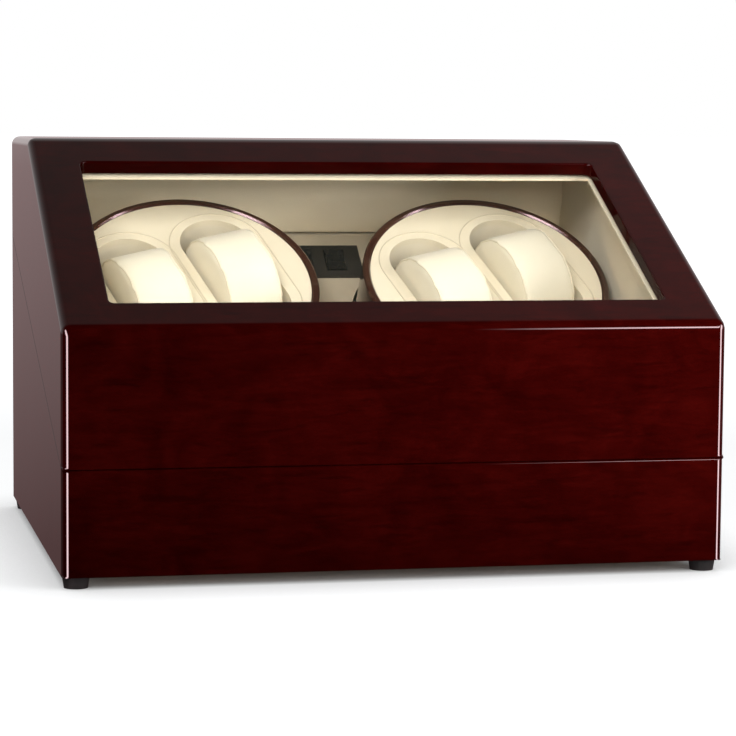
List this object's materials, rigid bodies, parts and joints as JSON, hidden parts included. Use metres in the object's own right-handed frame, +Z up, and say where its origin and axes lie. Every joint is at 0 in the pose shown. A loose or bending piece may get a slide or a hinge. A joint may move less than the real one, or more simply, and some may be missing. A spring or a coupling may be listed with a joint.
{
  "type": "watch winder box",
  "caption": "Lacquered wooden case with a sloping glazed lid over two motor-driven tilted turntables that turn watch cushions, with a cushioned storage tray in front.",
  "frame": {"origin": "on the ground under the middle of the bounding box", "axes": "+X across the case to the right seen from the front, +Y to the back, +Z up"},
  "size_m": [0.34, 0.2954, 0.219],
  "materials": {
    "wood_lacquer": "high-gloss lacquered dark cherry veneer",
    "wood_plain": "plain board",
    "leather_lining": "cream leatherette with fine grain",
    "leather_cushion": "cream padded leatherette",
    "well_lining": "cream suedette",
    "drum_shell": "polished dark brown",
    "window_glass": "clear float glass",
    "black_plate": "satin black",
    "rocker_plastic": "semi-gloss black",
    "black_plastic": "moulded black",
    "white_plastic": "natural nylon",
    "gear_plastic": "natural acetal",
    "rubber": "moulded black rubber",
    "steel": "zinc plated",
    "motor_steel": "plated steel can",
    "hinge_brass": "polished brass",
    "pinion_brass": "machined brass",
    "bronze": "sintered bronze",
    "wire_insulation": "red PVC",
    "circuit_board": "green solder mask"
  },
  "bodies": {
    "base": {"base_front_panel": "wood_lacquer", "base_side_left": "wood_lacquer", "base_side_right": "wood_lacquer", "base_back_panel": "wood_lacquer", "base_bottom_board": "wood_plain", "base_lining": "leather_lining", "rubber_feet": "rubber", "foot_screws": "steel", "deck_boards": "leather_lining", "switch_plate": "black_plate", "switch_bodies": "black_plastic", "storage_tray": "leather_lining", "motor_board": "wood_plain", "support_cleats": "wood_plain", "bearing_bushes": "bronze", "gear_motors": "motor_steel", "motor_screws": "steel", "control_board": "circuit_board", "board_standoffs": "white_plastic", "wiring": "wire_insulation", "dc_jack": "black_plastic", "hinge_base_leaves": "hinge_brass", "hinge_base_screws": "hinge_brass", "hinge_pins": "steel"},
    "lid": {"lid_front_panel": "wood_lacquer", "lid_side_left": "wood_lacquer", "lid_side_right": "wood_lacquer", "lid_top_panel": "wood_lacquer", "lid_back_panel": "wood_lacquer", "lid_frame_rails": "wood_lacquer", "lid_frame_lining": "leather_lining", "lid_lining": "leather_lining", "lid_back_pad": "leather_lining", "window_pane": "window_glass", "hinge_lid_leaves": "hinge_brass", "hinge_lid_screws": "hinge_brass"},
    "turntable_left": {"drum_cup_left": "drum_shell", "drum_pad_left": "leather_lining", "drum_wells_left": "well_lining", "drum_spindle_left": "steel", "drum_gear_left": "gear_plastic"},
    "pinion_left": {"pinion_left": "pinion_brass"},
    "rocker_left": {"rocker_left": "rocker_plastic"},
    "turntable_right": {"drum_cup_right": "drum_shell", "drum_pad_right": "leather_lining", "drum_wells_right": "well_lining", "drum_spindle_right": "steel", "drum_gear_right": "gear_plastic"},
    "pinion_right": {"pinion_right": "pinion_brass"},
    "rocker_right": {"rocker_right": "rocker_plastic"},
    "winder_cushion_1": {"winder_cushion_1": "leather_cushion"},
    "winder_cushion_2": {"winder_cushion_2": "leather_cushion"},
    "winder_cushion_3": {"winder_cushion_3": "leather_cushion"},
    "winder_cushion_4": {"winder_cushion_4": "leather_cushion"},
    "storage_cushion_1": {"storage_cushion_1": "leather_cushion"},
    "storage_cushion_2": {"storage_cushion_2": "leather_cushion"},
    "storage_cushion_3": {"storage_cushion_3": "leather_cushion"},
    "storage_cushion_4": {"storage_cushion_4": "leather_cushion"},
    "storage_cushion_5": {"storage_cushion_5": "leather_cushion"},
    "storage_cushion_6": {"storage_cushion_6": "leather_cushion"}
  },
  "joints": [
    {"name": "lid_hinge", "type": "hinge", "parent": "base", "child": "lid", "pos_m": [0, 0.14324, 0.16332], "axis": [-1, 0, 0], "range_deg": [0, 95]},
    {"name": "left_turntable_spin", "type": "hinge", "parent": "base", "child": "turntable_left", "pos_m": [-0.083, 0.00534, 0.1415], "axis": [0, -0.6115, 0.7912], "continuous": true},
    {"name": "left_pinion_spin", "type": "hinge", "parent": "base", "child": "pinion_left", "pos_m": [-0.044, 0.00534, 0.1415], "axis": [0, -0.6115, 0.7912], "continuous": true},
    {"name": "right_turntable_spin", "type": "hinge", "parent": "base", "child": "turntable_right", "pos_m": [0.083, 0.00534, 0.1415], "axis": [0, -0.6115, 0.7912], "continuous": true},
    {"name": "right_pinion_spin", "type": "hinge", "parent": "base", "child": "pinion_right", "pos_m": [0.044, 0.00534, 0.1415], "axis": [0, -0.6115, 0.7912], "continuous": true},
    {"name": "left_rocker_press", "type": "hinge", "parent": "base", "child": "rocker_left", "pos_m": [-0.0095, 0.07158, 0.14656], "axis": [1, 0, 0], "range_deg": [-16, 0]},
    {"name": "right_rocker_press", "type": "hinge", "parent": "base", "child": "rocker_right", "pos_m": [0.0095, 0.07158, 0.14656], "axis": [1, 0, 0], "range_deg": [-16, 0]},
    {"name": "winder_cushion_1_lift", "type": "slide", "parent": "turntable_left", "child": "winder_cushion_1", "axis": [0, -0.6115, 0.7912], "range_m": [0, 0.015]},
    {"name": "winder_cushion_2_lift", "type": "slide", "parent": "turntable_left", "child": "winder_cushion_2", "axis": [0, -0.6115, 0.7912], "range_m": [0, 0.015]},
    {"name": "winder_cushion_3_lift", "type": "slide", "parent": "turntable_right", "child": "winder_cushion_3", "axis": [0, -0.6115, 0.7912], "range_m": [0, 0.015]},
    {"name": "winder_cushion_4_lift", "type": "slide", "parent": "turntable_right", "child": "winder_cushion_4", "axis": [0, -0.6115, 0.7912], "range_m": [0, 0.015]},
    {"name": "storage_cushion_1_lift", "type": "slide", "parent": "base", "child": "storage_cushion_1", "axis": [0, 0, 1], "range_m": [0, 0.04]},
    {"name": "storage_cushion_2_lift", "type": "slide", "parent": "base", "child": "storage_cushion_2", "axis": [0, 0, 1], "range_m": [0, 0.04]},
    {"name": "storage_cushion_3_lift", "type": "slide", "parent": "base", "child": "storage_cushion_3", "axis": [0, 0, 1], "range_m": [0, 0.04]},
    {"name": "storage_cushion_4_lift", "type": "slide", "parent": "base", "child": "storage_cushion_4", "axis": [0, 0, 1], "range_m": [0, 0.04]},
    {"name": "storage_cushion_5_lift", "type": "slide", "parent": "base", "child": "storage_cushion_5", "axis": [0, 0, 1], "range_m": [0, 0.04]},
    {"name": "storage_cushion_6_lift", "type": "slide", "parent": "base", "child": "storage_cushion_6", "axis": [0, 0, 1], "range_m": [0, 0.04]}
  ],
  "couplings": [
    {"joint": "left_pinion_spin", "follows": "left_turntable_spin", "ratio": -3.3333},
    {"joint": "right_pinion_spin", "follows": "right_turntable_spin", "ratio": -3.3333}
  ]
}
